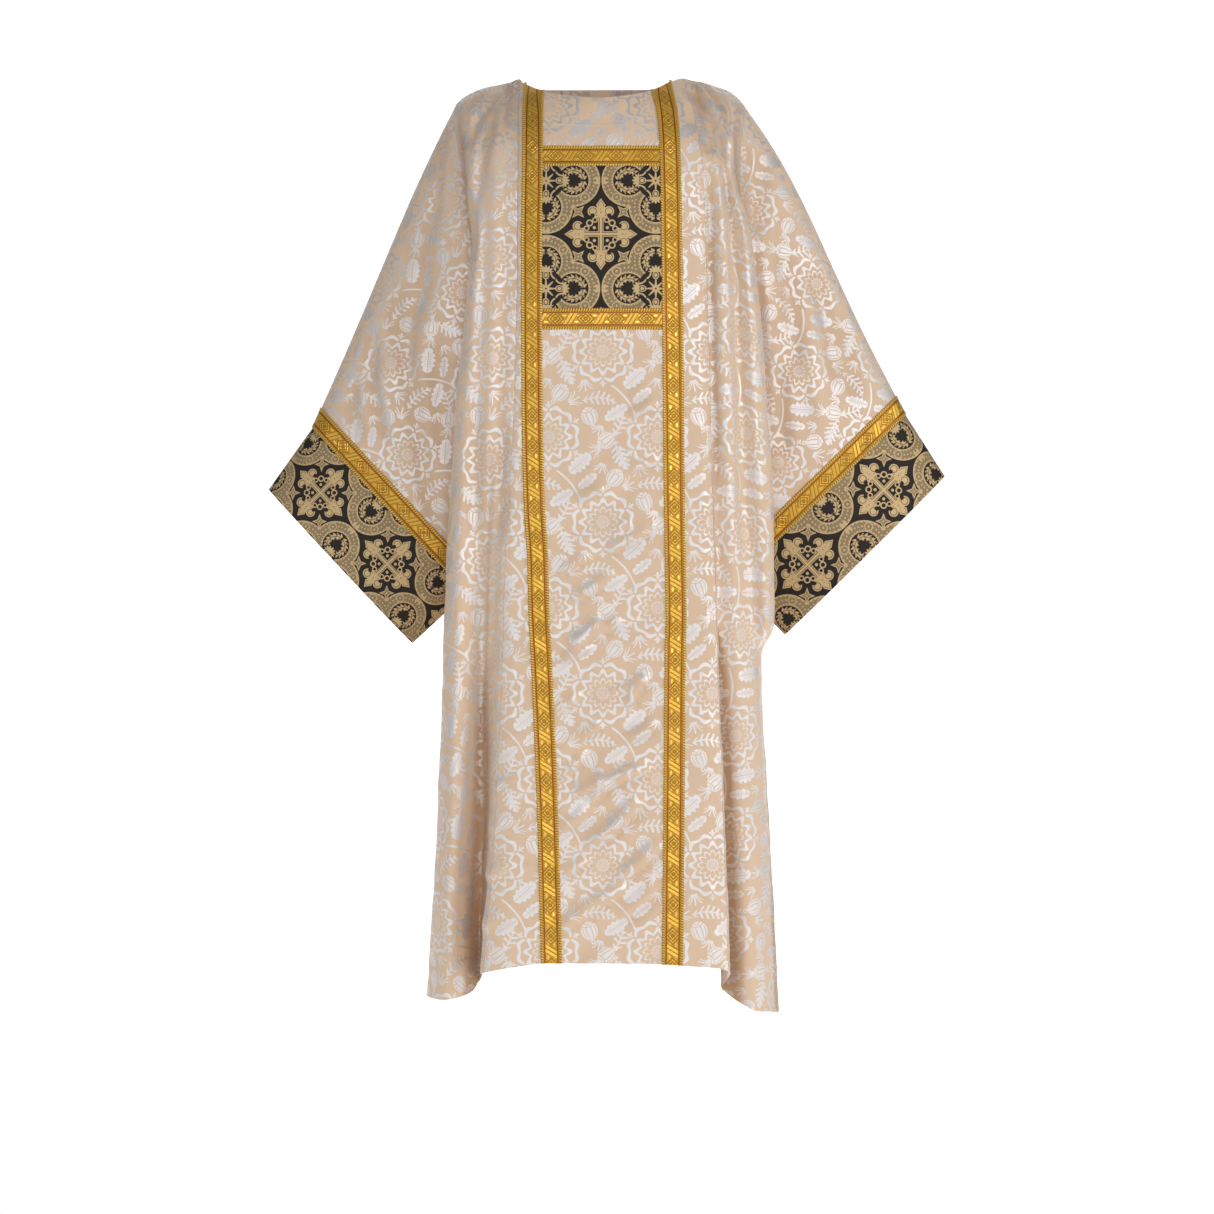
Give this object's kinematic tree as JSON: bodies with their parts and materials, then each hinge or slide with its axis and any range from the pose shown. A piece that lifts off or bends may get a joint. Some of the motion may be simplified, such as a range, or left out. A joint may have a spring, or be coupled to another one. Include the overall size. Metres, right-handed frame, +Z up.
{
  "type": "dalmatic",
  "caption": "Dalmatic in its worn, hollow form: long damask robe with wide sleeves, brocade cuffs and chest panel, and gold galloons.",
  "frame": {"origin": "between the two ends of the neck opening, at the top of the shoulders, where the wearer holds it up", "axes": "+Z up, -Y towards the garment's front, +X to the right of someone who looks at the front"},
  "size_m": [0.879, 0.3597, 1.2053],
  "materials": {
    "damask": "satin figure on a dull peach-ivory ground",
    "brocade": "black ground with old-gold figure",
    "galloon": "gold metal thread, soft gloss"
  },
  "bodies": {
    "root": {"front_middle": "damask", "front_side_left": "damask", "front_side_right": "damask", "back": "damask", "sleeve_left": "damask", "sleeve_right": "damask", "cuff_left": "brocade", "cuff_right": "brocade", "cuff_galloon_left": "galloon", "cuff_galloon_right": "galloon", "clavus_front_left": "galloon", "clavus_front_right": "galloon", "clavus_back_left": "galloon", "clavus_back_right": "galloon", "chest_panel": "brocade", "chest_galloon_top": "galloon", "chest_galloon_bottom": "galloon"}
  },
  "joints": []
}
